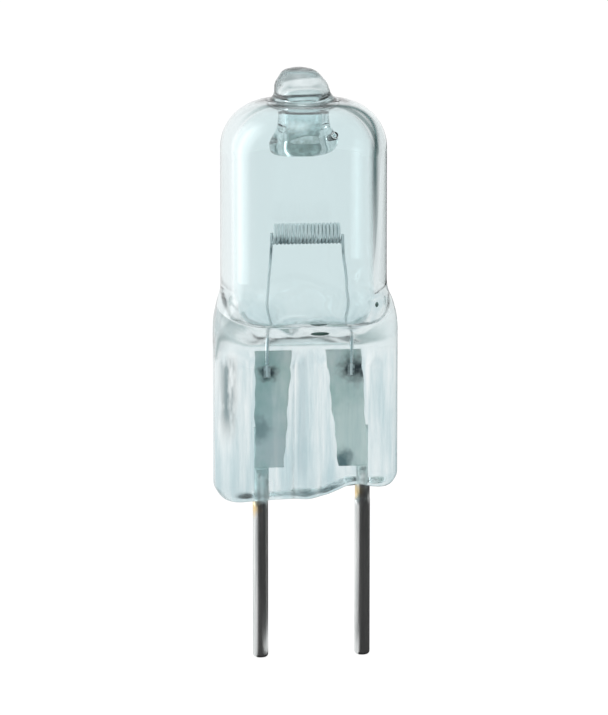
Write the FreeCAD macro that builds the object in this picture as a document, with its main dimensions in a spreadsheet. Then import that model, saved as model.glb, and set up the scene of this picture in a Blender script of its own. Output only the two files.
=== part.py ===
# Clear halogen capsule bulb: a pinch-sealed quartz envelope, a coiled filament, two sealing foils, two pins.
# Millimetres, +Z up. X runs along the line of the pins, and -Y is the front of the pinch.
# The origin is midway between the pins, at their shoulders just under the pinch.
import FreeCAD
import Part
import Sketcher
import math
import os
from types import SimpleNamespace
from FreeCAD import Placement, Rotation, Vector

# Driving dimensions: alias, value, meaning. Heights are above the pins' shoulders unless they say otherwise.
SIZES = [
    ("glass_dia", 10.2, "outer diameter of the tube"),
    ("glass_wall", 0.75, "thickness of the tube and dome"),
    ("tube_length", 7.8, "straight tube, from the neck to the shoulder"),
    ("shoulder_round", 2.95, "outer radius of the shoulder"),
    ("hollow_round", 2.0, "inner radius of the shoulder"),
    ("crown_rise", 0.2, "rise of the dome towards its middle"),
    ("floor_drop", 2.65, "cavity floor below the neck"),
    ("floor_width", 8.3, "cavity floor along the line of the pins"),
    ("floor_thick", 4.6, "cavity floor across the pinch"),
    ("floor_round", 2.2, "radius of the cavity floor's corners"),
    ("collar_rise", 4.4, "start of the round tube above the top of the flat pinch"),
    ("brow_rise", 2.9, "collar's upper section above the top of the flat pinch"),
    ("brow_width", 10.8, "collar's upper section along the line of the pins"),
    ("brow_thick", 8.9, "collar's upper section across the pinch"),
    ("brow_round", 4.35, "corner radius of the collar's upper section"),
    ("collar_middle_rise", 1.75, "collar's middle section above the top of the flat pinch"),
    ("collar_width", 11.22, "collar's middle section along the line of the pins"),
    ("collar_thick", 6.7, "collar's middle section across the pinch"),
    ("collar_round", 3.0, "corner radius of the collar's middle section"),
    ("seam_flat", 0.05, "half of the flats that join the tube's four quarter arcs at the collar"),
    ("tip_height", 2.2, "sealed exhaust tip above the dome"),
    ("tip_root", 0.7, "depth of the tip's root in the dome"),
    ("tip_flare_dia", 5.0, "tip, across the flare of its foot"),
    ("tip_flare_drop", 0.4, "edge of that flare below the dome"),
    ("tip_flare_round", 0.7, "radius of the flare"),
    ("tip_base_dia", 3.8, "tip, across its foot above the flare"),
    ("tip_base_height", 0.35, "height of that foot above the dome"),
    ("tip_waist_dia", 3.1, "tip, across its upper edge"),
    ("tip_waist_height", 1.35, "height of that edge above the dome"),
    ("tip_crest_dia", 1.5, "tip, across its blunt end"),
    ("tip_crest_height", 2.06, "height of the blunt end's edge above the dome"),
    ("tip_round", 0.75, "radius of both edges of the tip"),
    ("tip_lean", 8.0, "lean of the sealed tip towards the left pin, degrees"),
    ("bore_dia", 2.3, "bore of the exhaust stub"),
    ("bore_rise", 0.85, "closed end of the bore above the dome"),
    ("bore_round", 0.6, "radius of the bore's closed end"),
    ("lip_root_dia", 3.1, "exhaust stub inside the dome, across its outside at the ceiling"),
    ("lip_dia", 4.2, "exhaust stub across its flared lower end"),
    ("lip_drop", 2.0, "exhaust stub below the ceiling"),
    ("lip_round", 0.3, "radius of the stub's lower edges"),
    ("lip_root_round", 0.3, "radius where the stub meets the ceiling"),
    ("seat_height", 0.2, "underside of the pinch"),
    ("jaw_height", 9.6, "top of the flat pinch"),
    ("pinch_width", 11.35, "pinch along the line of the pins"),
    ("pinch_thick", 4.4, "pinch across its beads and rib"),
    ("pinch_shift", 0.1, "middle of the pinch from the tube's axis"),
    ("bead_round", 1.8, "radius of the pinch's upright edges"),
    ("foot_round", 0.8, "radius of the pinch's lower corners"),
    ("step_rise", 0.75, "right foot of the pinch above the left one"),
    ("step_start", 0.2, "start of that step from the pins' midpoint"),
    ("step_end", 2.1, "end of that step from the pins' midpoint"),
    ("step_round", 1.6, "radius at both ends of the step"),
    ("panel_width", 4.0, "pressed panel over a foil"),
    ("panel_drop", 0.1, "top of the pressed panels below the top of the flat pinch"),
    ("panel_depth", 0.5, "depth of the pressed panels"),
    ("panel_round", 0.7, "radius of the panels' upper corners"),
    ("panel_slope", 45.0, "slope of the panels' walls, degrees"),
    ("rib_width", 0.5, "rib between the panels"),
    ("pin_dia", 0.95, "contact pin"),
    ("pin_spacing", 6.35, "distance between the pins' axes"),
    ("pin_shift", 0.49, "pins' midpoint from the tube's axis"),
    ("pin_reach", 9.9, "pin below its shoulder"),
    ("pin_inset", 4.7, "pin's shank above its shoulder, in the glass"),
    ("pin_tip_round", 0.22, "radius of the pin's free end"),
    ("shank_dia", 0.87, "pin's shank, above the shoulder"),
    ("shank_gap", 0.02, "clearance between a shank and the glass"),
    ("weld_flat", 0.135, "depth of the flat where a shank is welded to its foil"),
    ("flat_margin", 0.3, "flat below the foil"),
    ("foil_thick", 0.035, "sealing foil"),
    ("foil_base", 2.2, "lower end of the foils"),
    ("foil_length", 7.5, "length of the foils"),
    ("left_foil_out_top", 0.42, "left foil's outer edge beyond its pin's axis, at the top"),
    ("left_foil_out_base", 0.42, "the same at the lower end"),
    ("left_foil_top", 2.28, "left foil's width at the top"),
    ("left_foil_end", 1.8, "left foil's width at the lower end"),
    ("right_foil_out_top", -0.2, "right foil's outer edge beyond its pin's axis, at the top"),
    ("right_foil_out_base", 0.33, "the same at the lower end"),
    ("right_foil_top", 2.2, "right foil's width at the top"),
    ("right_foil_end", 1.9, "right foil's width at the lower end"),
    ("wire_dia", 0.18, "filament wire"),
    ("coil_dia", 1.32, "filament coil, outside"),
    ("coil_pitch", 0.23, "filament coil, turn to turn"),
    ("coil_turns", 18, "whole turns of the coil, with a half turn more to bring both legs down"),
    ("coil_rise", 2.65, "axis of the coil above the start of the round tube"),
    ("coil_shift", 0.28, "middle of the coil from the pins' midpoint, to the left"),
    ("leg_start", 1.2, "leg's straight start at the coil"),
    ("leg_bend", 1.5, "radius of the legs' bends"),
    ("knee_height", 0.5, "leg's lower bend above the cavity floor"),
    ("leg_gap", 0.06, "clearance round a leg in the glass"),
    ("left_leg_inset", 0.33, "left leg from its pin's axis, towards the middle"),
    ("right_leg_inset", 0.82, "right leg from its pin's axis, towards the middle"),
    ("weld_base", 7.8, "lower end of the legs' flattened feet"),
    ("weld_length", 0.95, "length of the feet"),
    ("weld_width", 0.5, "width of the feet"),
    ("weld_thick", 0.12, "thickness of the feet"),
]
SIDES = (("left", -1), ("right", 1))
OVERCUT = 1.0
WIRE_FACETS = 6


class Size:
    """A cell of the sheet, or a sum of cells: its number, and the expression that binds it."""

    def __init__(self, value, text):
        self.value = value
        self.text = text

    def __add__(self, other):
        other = as_size(other)
        return Size(self.value + other.value, f"({self.text} + {other.text})")

    def __sub__(self, other):
        other = as_size(other)
        return Size(self.value - other.value, f"({self.text} - {other.text})")

    def __mul__(self, factor):
        return Size(self.value * factor, f"({self.text} * {factor})")

    def __truediv__(self, divisor):
        return Size(self.value / divisor, f"({self.text} / {divisor})")

    def __neg__(self):
        return Size(-self.value, f"(-{self.text})")


def as_size(thing):
    return thing if isinstance(thing, Size) else Size(thing, str(thing))


def make_sheet(doc):
    """Write the driving dimensions to the sheet and return them as sizes."""
    sheet = doc.addObject("Spreadsheet::Sheet", "Sizes")
    for row, (alias, value, meaning) in enumerate(SIZES, start=1):
        sheet.set(f"A{row}", meaning)
        sheet.set(f"B{row}", str(value))
        sheet.setAlias(f"B{row}", alias)
    doc.recompute()
    sizes = {}
    for alias, _, _ in SIZES:
        sizes[alias] = Size(float(sheet.get(alias)), f"Sizes.{alias}")
    return SimpleNamespace(**sizes)


def new_body(doc, name):
    body = doc.addObject("PartDesign::Body", name)
    body.Label = name
    return body


def new_sketch(body, name, role, depth=None):
    """An empty sketch on one of the body's own planes, moved along the plane's normal by depth."""
    sketch = body.newObject("Sketcher::SketchObject", name)
    plane = next(feature for feature in body.Origin.OriginFeatures if feature.Role == role)
    sketch.AttachmentSupport = [(plane, "")]
    sketch.MapMode = "FlatFace"
    if depth is not None:
        sketch.setExpression("AttachmentOffset.Base.z", depth.text)
    return sketch


def bind(sketch, constraint, size):
    """Add a dimension to the sketch and bind it to the sheet."""
    index = sketch.addConstraint(constraint)
    sketch.setExpression(f"Constraints[{index}]", size.text)


def place_point(sketch, geometry, position, x, y):
    for kind, size in (("DistanceX", x), ("DistanceY", y)):
        bind(sketch, Sketcher.Constraint(kind, -1, 1, geometry, position, size.value), size)


def arc_between(centre, first, last, radius):
    """The short arc from first to last, and the ends (1 or 2) at which it starts and stops."""
    angles = [math.atan2(point.y - centre.y, point.x - centre.x) for point in (first, last)]
    counter_clockwise = (first - centre).cross(last - centre).z > 0
    ends = (1, 2) if counter_clockwise else (2, 1)
    circle = Part.Circle(centre, Vector(0, 0, 1), radius)
    return Part.ArcOfCircle(circle, *(angles if counter_clockwise else reversed(angles))), ends


def add_outline(sketch, corners):
    """Draw a closed outline through corners (x, y) or (x, y, radius), rounded ones as tangent arcs."""
    corners = [[as_size(value) for value in corner] for corner in corners]
    points = [Vector(corner[0].value, corner[1].value, 0) for corner in corners]
    count = len(corners)
    reaches = []
    for i, corner in enumerate(corners):
        into = (points[i - 1] - points[i]).normalize()
        out = (points[(i + 1) % count] - points[i]).normalize()
        radius = corner[2].value if len(corner) == 3 else 0.0
        half_angle = into.getAngle(out) / 2
        reach = radius / math.tan(half_angle)
        centre = points[i] + (into + out).normalize() * (radius / math.sin(half_angle))
        reaches.append((points[i] + into * reach, points[i] + out * reach, centre))
    lines = []
    for i in range(count):
        segment = Part.LineSegment(reaches[i][1], reaches[(i + 1) % count][0])
        lines.append(sketch.addGeometry(segment, False))
    for i, corner in enumerate(corners):
        before, after = lines[i - 1], lines[i]
        if len(corner) == 2:
            sketch.addConstraint(Sketcher.Constraint("Coincident", before, 2, after, 1))
            place_point(sketch, after, 1, corner[0], corner[1])
            continue
        first, last, centre = reaches[i]
        curve, ends = arc_between(centre, first, last, corner[2].value)
        arc = sketch.addGeometry(curve, False)
        sketch.addConstraint(Sketcher.Constraint("Tangent", before, 2, arc, ends[0]))
        sketch.addConstraint(Sketcher.Constraint("Tangent", after, 1, arc, ends[1]))
        bind(sketch, Sketcher.Constraint("Radius", arc, corner[2].value), corner[2])
        corner_point = sketch.addGeometry(Part.Point(points[i]), True)
        sketch.addConstraint(Sketcher.Constraint("PointOnObject", corner_point, 1, before))
        sketch.addConstraint(Sketcher.Constraint("PointOnObject", corner_point, 1, after))
        place_point(sketch, corner_point, 1, corner[0], corner[1])


def add_bar_section(sketch, x, width, thick, corner):
    """Draw a rectangle with rounded corners about (x, 0)."""
    left = x - width / 2
    right = x + width / 2
    add_outline(sketch, [
        (left, -thick / 2, corner),
        (right, -thick / 2, corner),
        (right, thick / 2, corner),
        (left, thick / 2, corner),
    ])


def add_circle(sketch, x, y, radius):
    circle = Part.Circle(Vector(x.value, y.value, 0), Vector(0, 0, 1), radius.value)
    index = sketch.addGeometry(circle, False)
    place_point(sketch, index, 3, x, y)
    bind(sketch, Sketcher.Constraint("Radius", index, radius.value), radius)


def add_dee(sketch, x, radius, chord):
    """Draw a circle about (x, 0) without what lies in front of a line at y = chord."""
    half_chord = math.sqrt(radius.value ** 2 - chord.value ** 2)
    right_end = Vector(x.value + half_chord, chord.value, 0)
    left_end = Vector(x.value - half_chord, chord.value, 0)
    start_angle = math.atan2(chord.value, half_chord)
    stop_angle = math.atan2(chord.value, -half_chord) + 2 * math.pi
    circle = Part.Circle(Vector(x.value, 0, 0), Vector(0, 0, 1), radius.value)
    arc = sketch.addGeometry(Part.ArcOfCircle(circle, start_angle, stop_angle), False)
    line = sketch.addGeometry(Part.LineSegment(left_end, right_end), False)
    sketch.addConstraint(Sketcher.Constraint("Coincident", arc, 2, line, 1))
    sketch.addConstraint(Sketcher.Constraint("Coincident", line, 2, arc, 1))
    sketch.addConstraint(Sketcher.Constraint("Horizontal", line))
    place_point(sketch, arc, 3, x, as_size(0))
    bind(sketch, Sketcher.Constraint("Radius", arc, radius.value), radius)
    bind(sketch, Sketcher.Constraint("DistanceY", -1, 1, line, 1, chord.value), chord)


def add_feature(body, kind, sketch):
    """Put a feature of this kind on the sketch, with the body's shape up to date before it."""
    body.Document.recompute()
    volume_before = body.Shape.Volume if body.Shape.Solids else 0.0
    feature = body.newObject(f"PartDesign::{kind}", f"{sketch.Name}_{kind.lower()}")
    feature.Profile = sketch
    sketch.Visibility = False
    return feature, volume_before


def confirm(body, feature, volume_before):
    """Stop if a feature didn't add, or cut, what it is there for."""
    body.Document.recompute()
    grown = body.Shape.Volume - volume_before
    cuts = feature.TypeId.endswith(("Pocket", "Groove", "SubtractiveLoft"))
    if (grown >= 0) if cuts else (grown <= 0):
        raise ValueError(f"{feature.Name} changes the volume by {grown:.4f} mm3")


def extrude(body, kind, sketch, length, flip=False, both_ways=False, slope=None):
    feature, volume_before = add_feature(body, kind, sketch)
    feature.setExpression("Length", length.text)
    feature.Reversed = flip
    if both_ways:
        feature.SideType = "Symmetric"
    if slope is not None:
        feature.setExpression("TaperAngle", slope.text)
    confirm(body, feature, volume_before)
    return feature


def revolve(body, kind, sketch):
    feature, volume_before = add_feature(body, kind, sketch)
    feature.ReferenceAxis = (sketch, ["V_Axis"])
    feature.Angle = 360
    confirm(body, feature, volume_before)
    return feature


def loft(body, kind, sections):
    feature, volume_before = add_feature(body, kind, sections[0])
    feature.Sections = sections[1:]
    confirm(body, feature, volume_before)
    return feature


def toward(side, size):
    """A distance from the middle, measured to the left (-1) or the right (1)."""
    return size if side > 0 else -size


def foil_back(s):
    """Y of the foils' back faces, which the pins' flats carry."""
    return s.weld_flat - s.shank_dia / 2


def foil_front(s):
    """Y of the foils' front faces, on which the legs' feet lie."""
    return foil_back(s) - s.foil_thick


def foil_corners(s, name, side, offset):
    """Corners of a foil seen from the front, with its X measured from a point offset to the left."""
    pin_x = s.pin_spacing / 2
    out_top = pin_x + getattr(s, f"{name}_foil_out_top")
    out_base = pin_x + getattr(s, f"{name}_foil_out_base")
    in_top = out_top - getattr(s, f"{name}_foil_top")
    in_base = out_base - getattr(s, f"{name}_foil_end")
    top = s.foil_base + s.foil_length
    rows = ((out_base, s.foil_base), (in_base, s.foil_base), (in_top, top), (out_top, top))
    return [(toward(side, x) + offset, z) for x, z in rows]


def weld_x(s, name, side):
    """X of a leg in the glass, from the pins' midpoint."""
    return toward(side, s.pin_spacing / 2 - getattr(s, f"{name}_leg_inset"))


def neck_height(s):
    """Height at which the round tube begins."""
    return s.jaw_height + s.collar_rise


def floor_height(s):
    """Height of the cavity's floor, in the collar."""
    return neck_height(s) - s.floor_drop


def make_pinch(body, s):
    """The pinch: a bar with rounded edges, trimmed to its front outline, with two panels a side."""
    left = s.pinch_shift - s.pinch_width / 2
    right = s.pinch_shift + s.pinch_width / 2
    section = new_sketch(body, "pinch_section", "XY_Plane")
    add_bar_section(section, s.pinch_shift, s.pinch_width, s.pinch_thick, s.bead_round)
    extrude(body, "Pad", section, s.jaw_height)

    # The bar loses what lies outside its front outline: the lower corners and the stepped underside.
    trim = new_sketch(body, "pinch_trim", "XZ_Plane")
    add_outline(trim, [
        (left - OVERCUT, as_size(-OVERCUT)),
        (right + OVERCUT, as_size(-OVERCUT)),
        (right + OVERCUT, s.jaw_height),
        (left - OVERCUT, s.jaw_height),
    ])
    add_outline(trim, [
        (left, s.seat_height, s.foot_round),
        (s.pin_shift + s.step_start, s.seat_height, s.step_round),
        (s.pin_shift + s.step_end, s.seat_height + s.step_rise, s.step_round),
        (right, s.seat_height + s.step_rise, s.foot_round),
        (right, s.jaw_height),
        (left, s.jaw_height),
    ])
    extrude(body, "Pocket", trim, s.pinch_thick + OVERCUT, both_ways=True)

    panels = new_sketch(body, "panel_outlines", "XZ_Plane", s.pinch_thick / 2)
    for _, side in SIDES:
        inner = s.pinch_shift + toward(side, s.rib_width / 2)
        outer = s.pinch_shift + toward(side, s.rib_width / 2 + s.panel_width)
        add_outline(panels, [
            (inner, as_size(-OVERCUT)),
            (outer, as_size(-OVERCUT)),
            (outer, s.jaw_height - s.panel_drop, s.panel_round),
            (inner, s.jaw_height - s.panel_drop, s.panel_round),
        ])
    front = extrude(body, "Pocket", panels, s.panel_depth, slope=-s.panel_slope)
    volume_before = body.Shape.Volume
    back = body.newObject("PartDesign::Mirrored", "back_panels")
    back.Originals = [front]
    back.MirrorPlane = (next(f for f in body.Origin.OriginFeatures if f.Role == "XZ_Plane"), [""])
    body.Tip = back
    body.Document.recompute()
    if body.Shape.Volume >= volume_before:
        raise ValueError("the panels at the back cut nothing")


def make_collar(body, s):
    """The collar, where the round tube is squeezed flat."""
    middle = s.jaw_height + s.collar_middle_rise
    brow = s.jaw_height + s.brow_rise
    tube_corner = s.glass_dia / 2 - s.seam_flat
    sections = []
    for name, height, shift, width, thick, corner in (
        ("collar_foot", s.jaw_height, s.pinch_shift, s.pinch_width, s.pinch_thick, s.bead_round),
        ("collar_middle", middle, s.pinch_shift, s.collar_width, s.collar_thick, s.collar_round),
        ("collar_brow", brow, s.pinch_shift / 2, s.brow_width, s.brow_thick, s.brow_round),
        ("collar_neck", neck_height(s), as_size(0), s.glass_dia, s.glass_dia, tube_corner),
    ):
        sections.append(new_sketch(body, name, "XY_Plane", height))
        add_bar_section(sections[-1], shift, width, thick, corner)
    loft(body, "AdditiveLoft", sections)


def make_capsule(body, s):
    """The tube with its domed top, the sealed tip, and the hollow inside down to the wedge in the collar."""
    radius = s.glass_dia / 2
    neck = neck_height(s)
    dome = neck + s.tube_length + s.shoulder_round
    capsule = new_sketch(body, "capsule", "XZ_Plane")
    add_outline(capsule, [
        (0, neck),
        (radius, neck),
        (radius, dome, s.shoulder_round),
        (0, dome + s.crown_rise),
    ])
    revolve(body, "Revolution", capsule)

    tip = new_sketch(body, "exhaust_tip", "XZ_Plane")
    tip.AttachmentOffset = Placement(Vector(), Rotation(Vector(0, 0, 1), s.tip_lean.value))
    tip.setExpression("AttachmentOffset.Base.y", dome.text)
    tip.setExpression("AttachmentOffset.Rotation.Angle", s.tip_lean.text)
    add_outline(tip, [
        (0, -s.tip_root),
        (s.tip_flare_dia / 2, -s.tip_root),
        (s.tip_flare_dia / 2, -s.tip_flare_drop),
        (s.tip_base_dia / 2, s.tip_base_height, s.tip_flare_round),
        (s.tip_waist_dia / 2, s.tip_waist_height, s.tip_round),
        (s.tip_crest_dia / 2, s.tip_crest_height, s.tip_round),
        (0, s.tip_height),
    ])
    revolve(body, "Revolution", tip)

    bore = s.bore_dia / 2
    lip = s.lip_dia / 2
    lip_root = s.lip_root_dia / 2
    inside = radius - s.glass_wall
    ceiling = dome - s.glass_wall
    hollow = new_sketch(body, "hollow", "XZ_Plane")
    add_outline(hollow, [
        (0, neck),
        (inside, neck),
        (inside, ceiling, s.hollow_round),
        (lip_root, ceiling, s.lip_root_round),
        (lip, ceiling - s.lip_drop, s.lip_round),
        (bore, ceiling - s.lip_drop, s.lip_round),
        (bore, dome + s.bore_rise, s.bore_round),
        (0, dome + s.bore_rise),
    ])
    revolve(body, "Groove", hollow)

    wedge_top = new_sketch(body, "wedge_top", "XY_Plane", neck)
    add_bar_section(wedge_top, as_size(0), inside * 2, inside * 2, inside - s.seam_flat)
    wedge_floor = new_sketch(body, "wedge_floor", "XY_Plane", floor_height(s))
    add_bar_section(wedge_floor, s.pinch_shift, s.floor_width, s.floor_thick, s.floor_round)
    loft(body, "SubtractiveLoft", [wedge_top, wedge_floor])


def make_seats(body, s):
    """What the glass leaves free for the metal sealed in it: pins, foils, legs and their feet."""
    bore = s.shank_dia / 2 + s.shank_gap
    flat_base = s.foil_base - s.flat_margin
    shanks = new_sketch(body, "shank_bores", "XY_Plane")
    dees = new_sketch(body, "welded_shank_bores", "XY_Plane", flat_base)
    foils = new_sketch(body, "foil_slots", "XZ_Plane", -foil_back(s))
    legs = new_sketch(body, "leg_bores", "XY_Plane", s.weld_base)
    feet = new_sketch(body, "foot_slots", "XZ_Plane", -foil_front(s))
    for name, side in SIDES:
        pin_x = s.pin_shift + toward(side, s.pin_spacing / 2)
        leg_x = s.pin_shift + weld_x(s, name, side)
        add_circle(shanks, pin_x, as_size(0), bore)
        add_dee(dees, pin_x, bore, foil_back(s))
        add_outline(foils, foil_corners(s, name, side, s.pin_shift))
        add_circle(legs, leg_x, foil_front(s) - s.wire_dia / 2, s.wire_dia / 2 + s.leg_gap)
        half_foot = s.weld_width / 2 + s.leg_gap
        add_outline(feet, [
            (leg_x - half_foot, s.weld_base - s.leg_gap),
            (leg_x + half_foot, s.weld_base - s.leg_gap),
            (leg_x + half_foot, s.weld_base + s.weld_length + s.leg_gap),
            (leg_x - half_foot, s.weld_base + s.weld_length + s.leg_gap),
        ])
    extrude(body, "Pocket", shanks, flat_base, flip=True)
    extrude(body, "Pocket", dees, s.pin_inset + s.shank_gap - flat_base, flip=True)
    extrude(body, "Pocket", foils, s.foil_thick, flip=True)
    extrude(body, "Pocket", feet, s.weld_thick + s.leg_gap, flip=True)
    extrude(body, "Pocket", legs, floor_height(s) + s.knee_height - s.weld_base, flip=True)


def make_envelope(doc, s):
    body = new_body(doc, "quartz_envelope")
    body.setExpression("Placement.Base.x", (-s.pin_shift).text)
    make_pinch(body, s)
    make_collar(body, s)
    make_capsule(body, s)
    make_seats(body, s)
    return body


def make_pin(doc, s, name, side):
    """A straight pin with a rounded free end, and a shank with a flat along its welded end."""
    body = new_body(doc, f"{name}_pin")
    body.setExpression("Placement.Base.x", toward(side, s.pin_spacing / 2).text)
    radius = s.pin_dia / 2
    profile = new_sketch(body, f"{name}_pin_profile", "XZ_Plane")
    add_outline(profile, [
        (0, -s.pin_reach),
        (radius, -s.pin_reach, s.pin_tip_round),
        (radius, 0),
        (s.shank_dia / 2, 0),
        (s.shank_dia / 2, s.pin_inset),
        (0, s.pin_inset),
    ])
    revolve(body, "Revolution", profile)
    flat_base = s.foil_base - s.flat_margin
    flat = new_sketch(body, f"{name}_pin_flat", "XY_Plane", flat_base)
    add_outline(flat, [
        (-s.pin_dia, -s.pin_dia),
        (s.pin_dia, -s.pin_dia),
        (s.pin_dia, foil_back(s)),
        (-s.pin_dia, foil_back(s)),
    ])
    extrude(body, "Pocket", flat, s.pin_inset - flat_base + OVERCUT, flip=True)
    return body


def make_foil(doc, s, name, side):
    body = new_body(doc, f"{name}_foil")
    body.setExpression("Placement.Base.y", foil_back(s).text)
    outline = new_sketch(body, f"{name}_foil_outline", "XZ_Plane")
    add_outline(outline, foil_corners(s, name, side, as_size(0)))
    extrude(body, "Pad", outline, s.foil_thick)
    return body


def rounded_path(points, radius):
    """Edges of straight runs through the points, joined by tangent arcs."""
    edges = []
    start = points[0]
    for before, point, after in zip(points, points[1:], points[2:]):
        into = (before - point).normalize()
        out = (after - point).normalize()
        half_angle = into.getAngle(out) / 2
        reach = radius / math.tan(half_angle)
        middle_line = (into + out).normalize()
        middle = point + middle_line * (radius / math.sin(half_angle) - radius)
        edges.append(Part.LineSegment(start, point + into * reach).toShape())
        edges.append(Part.Arc(point + into * reach, middle, point + out * reach).toShape())
        start = point + out * reach
    edges.append(Part.LineSegment(start, points[-1]).toShape())
    return edges


def make_filament(doc, s):
    """One wire: left leg, coil and right leg, with both feet pressed flat where they are welded."""
    radius = (s.coil_dia - s.wire_dia) / 2
    turns = s.coil_turns + 0.5
    coil_length = Size(turns.value * s.coil_pitch.value, f"({turns.text} * {s.coil_pitch.text})")
    coil = doc.addObject("Part::Helix", "coil_line")
    coil.setExpression("Pitch", s.coil_pitch.text)
    coil.setExpression("Height", coil_length.text)
    coil.setExpression("Radius", radius.text)
    # The coil's axis lies along X. It starts at the back, rising, and ends at the front, falling.
    coil.Placement = Placement(Vector(), Rotation(Vector(1, 1, 1), 120))
    coil.setExpression("Placement.Base.x", (-s.coil_shift - coil_length / 2).text)
    coil_height = neck_height(s) + s.coil_rise
    coil.setExpression("Placement.Base.z", coil_height.text)
    doc.recompute()

    # Each leg leaves along the coil's own slope, then runs to a knee over the floor and straight down.
    slope = Vector(s.coil_pitch.value / (2 * math.pi * radius.value), 0, -1).normalize()
    leg_y = foil_front(s).value - s.wire_dia.value / 2
    knee = floor_height(s).value + s.knee_height.value
    weld_middle = s.weld_base.value + s.weld_length.value / 2
    runs = {}
    for name, side in SIDES:
        end_x = side * coil_length.value / 2 - s.coil_shift.value
        end = Vector(end_x, -side * radius.value, coil_height.value)
        way_down = Vector(side * slope.x, 0, slope.z)
        leg_x = weld_x(s, name, side).value
        points = [
            end,
            end + way_down * s.leg_start.value,
            Vector(leg_x, leg_y, knee),
            Vector(leg_x, leg_y, weld_middle),
        ]
        runs[name] = rounded_path(points, s.leg_bend.value)
    line = doc.addObject("Part::Feature", "filament_line")
    line.Shape = Part.Wire(Part.__sortEdges__(runs["left"] + coil.Shape.Edges + runs["right"]))

    # The wire is drawn with flat sides, which keeps the mesh of its many turns light.
    section = doc.addObject("Part::RegularPolygon", "wire_section")
    section.Polygon = WIRE_FACETS
    section.setExpression("Circumradius", (s.wire_dia / 2).text)
    section.setExpression("Placement.Base.x", weld_x(s, "left", -1).text)
    section.setExpression("Placement.Base.y", (foil_front(s) - s.wire_dia / 2).text)
    section.setExpression("Placement.Base.z", (s.weld_base + s.weld_length / 2).text)
    wire = doc.addObject("Part::Sweep", "wire")
    wire.Sections = [section]
    wire.Spine = (line, [f"Edge{number + 1}" for number in range(len(line.Shape.Edges))])
    wire.Solid = True
    wire.Frenet = False

    feet = []
    for name, side in SIDES:
        foot = doc.addObject("Part::Box", f"{name}_foot")
        foot.setExpression("Length", s.weld_width.text)
        foot.setExpression("Width", s.weld_thick.text)
        foot.setExpression("Height", s.weld_length.text)
        foot.setExpression("Placement.Base.x", (weld_x(s, name, side) - s.weld_width / 2).text)
        foot.setExpression("Placement.Base.y", (foil_front(s) - s.weld_thick).text)
        foot.setExpression("Placement.Base.z", s.weld_base.text)
        feet.append(foot)
    filament = doc.addObject("Part::MultiFuse", "filament")
    filament.Label = "filament"
    filament.Shapes = [wire] + feet
    return filament


def main():
    doc = FreeCAD.newDocument("capsule_bulb")
    s = make_sheet(doc)
    pieces = [make_envelope(doc, s), make_filament(doc, s)]
    for name, side in SIDES:
        pieces.append(make_foil(doc, s, name, side))
        pieces.append(make_pin(doc, s, name, side))
    doc.recompute()
    for item in doc.Objects:
        if "Invalid" in item.State or "Error" in item.State:
            raise RuntimeError(f"{item.Label} did not recompute: {item.State}")
    for piece in pieces:
        if piece.Shape.isNull() or not piece.Shape.isValid() or len(piece.Shape.Solids) != 1:
            raise RuntimeError(f"{piece.Label} is not one valid solid")
    os.makedirs("parts", exist_ok=True)
    for piece in pieces:
        piece.Shape.exportStep(f"parts/{piece.Label}.step")
        print(f"{piece.Label}: {piece.Shape.Volume:.4f} mm3")


main()
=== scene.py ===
import math

import bmesh
import bpy
import numpy as np
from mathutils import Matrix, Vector


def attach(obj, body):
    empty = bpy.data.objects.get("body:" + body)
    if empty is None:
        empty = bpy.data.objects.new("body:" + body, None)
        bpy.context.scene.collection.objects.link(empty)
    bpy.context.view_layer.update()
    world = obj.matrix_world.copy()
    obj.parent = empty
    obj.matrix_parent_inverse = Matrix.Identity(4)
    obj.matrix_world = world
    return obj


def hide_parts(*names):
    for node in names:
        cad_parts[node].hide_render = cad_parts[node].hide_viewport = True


# A clear halogen capsule bulb on a white table, dressed over its CAD frame.
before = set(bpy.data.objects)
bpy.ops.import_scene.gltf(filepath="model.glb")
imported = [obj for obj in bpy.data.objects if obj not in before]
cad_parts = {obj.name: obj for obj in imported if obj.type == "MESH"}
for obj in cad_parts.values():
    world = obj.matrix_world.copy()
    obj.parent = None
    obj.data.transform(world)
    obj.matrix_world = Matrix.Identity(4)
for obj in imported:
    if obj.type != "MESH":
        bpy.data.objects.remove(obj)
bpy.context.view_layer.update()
scene = bpy.context.scene
mm = 0.001
print("frame loaded:", sorted(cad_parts))


# Shared mesh helpers. Sizes in the piece dictionaries are millimetres; those under "wear" are metres, as the
# shader takes them.

def roundedProfile(corners, step=0.09):
    # corners are (radius, height) or (radius, height, rounding); rounded ones become arcs
    points = [np.array(c[:2], float) for c in corners]
    out = [points[0]]
    for i in range(1, len(corners) - 1):
        if len(corners[i]) == 2:
            out.append(points[i])
            continue
        into = points[i - 1] - points[i]
        away = points[i + 1] - points[i]
        into /= np.linalg.norm(into)
        away /= np.linalg.norm(away)
        half = math.acos(max(-1.0, min(1.0, float(into @ away)))) / 2
        reach = corners[i][2] / math.tan(half)
        centre = points[i] + (into + away) / np.linalg.norm(into + away) * corners[i][2] / math.sin(half)
        first = points[i] + into * reach - centre
        last = points[i] + away * reach - centre
        turn = math.copysign(math.pi - 2 * half, first[0] * last[1] - first[1] * last[0])
        count = max(4, int(abs(turn) * corners[i][2] / step) + 1)
        for k in range(count + 1):
            a = turn * k / count
            out.append(centre + np.array([first[0] * math.cos(a) - first[1] * math.sin(a),
                                          first[0] * math.sin(a) + first[1] * math.cos(a)]))
    out.append(points[-1])
    return np.array(out)


def spacedOut(points, step):
    # long straight runs of a profile get extra points, so that waves can bend them
    out = [points[0]]
    for a, b in zip(points, points[1:]):
        count = max(1, int(np.linalg.norm(b - a) / step))
        out += [a + (b - a) * k / count for k in range(1, count + 1)]
    return np.array(out)


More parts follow.
